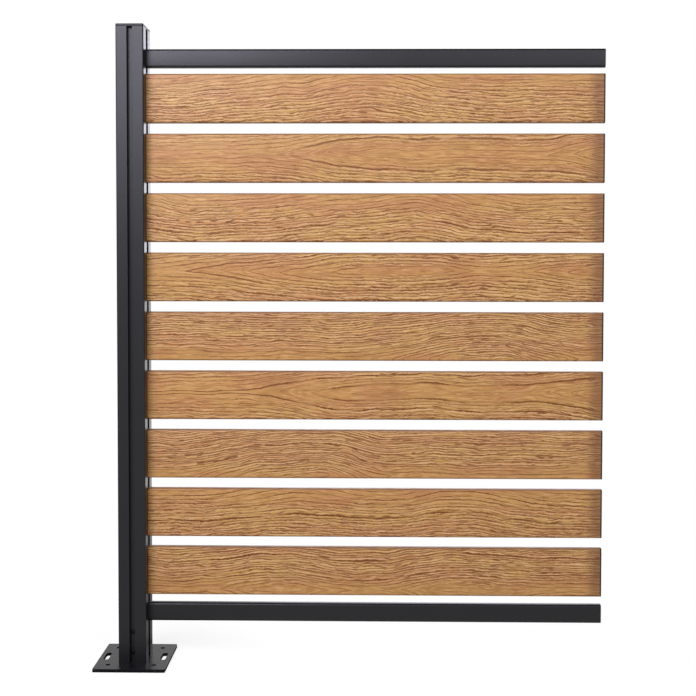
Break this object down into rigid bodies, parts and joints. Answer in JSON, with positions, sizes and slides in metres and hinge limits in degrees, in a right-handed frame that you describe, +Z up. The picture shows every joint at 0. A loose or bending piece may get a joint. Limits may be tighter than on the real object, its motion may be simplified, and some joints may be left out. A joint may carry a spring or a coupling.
{
  "type": "bin screen",
  "caption": "Slatted screen that hides wheeled bins: a bolt-down grooved post carries wood-effect slats between two dark rails, and the free slat ends slide into a next post.",
  "frame": {"origin": "centre of the base plate's underside, which is the centre of its bolt holes and is on the post's centre line", "axes": "+Z up along the post, +X along the slats away from the post, -Y towards the front"},
  "size_m": [0.951, 0.145, 1.2],
  "materials": {
    "powder_coat": "black satin powder coat on extruded aluminium",
    "base_coat": "black satin powder coat on steel plate",
    "oak_effect": "satin wood-effect film with oak grain on extruded aluminium",
    "zinc_steel": "zinc plated steel",
    "black_plastic": "black moulded plastic",
    "black_screws": "black zinc plated steel"
  },
  "bodies": {
    "root": {"base_plate": "base_coat", "front_spigot": "zinc_steel", "rear_spigot": "zinc_steel", "top_rail_cleat": "zinc_steel", "post": "powder_coat", "bottom_rail": "powder_coat", "top_rail": "powder_coat", "post_cap": "black_plastic", "foot_screws": "black_screws", "cleat_screw": "black_screws", "slat_1": "oak_effect", "slat_2": "oak_effect", "slat_3": "oak_effect", "slat_4": "oak_effect", "slat_5": "oak_effect", "slat_6": "oak_effect", "slat_7": "oak_effect", "slat_8": "oak_effect", "slat_9": "oak_effect", "slat_spacer_1": "black_plastic", "slat_spacer_2": "black_plastic", "slat_spacer_3": "black_plastic", "slat_spacer_4": "black_plastic", "slat_spacer_5": "black_plastic", "slat_spacer_6": "black_plastic", "slat_spacer_7": "black_plastic", "slat_spacer_8": "black_plastic", "bottom_rail_prop": "black_plastic", "lower_spacer": "black_plastic", "upper_spacer": "black_plastic"}
  },
  "joints": []
}
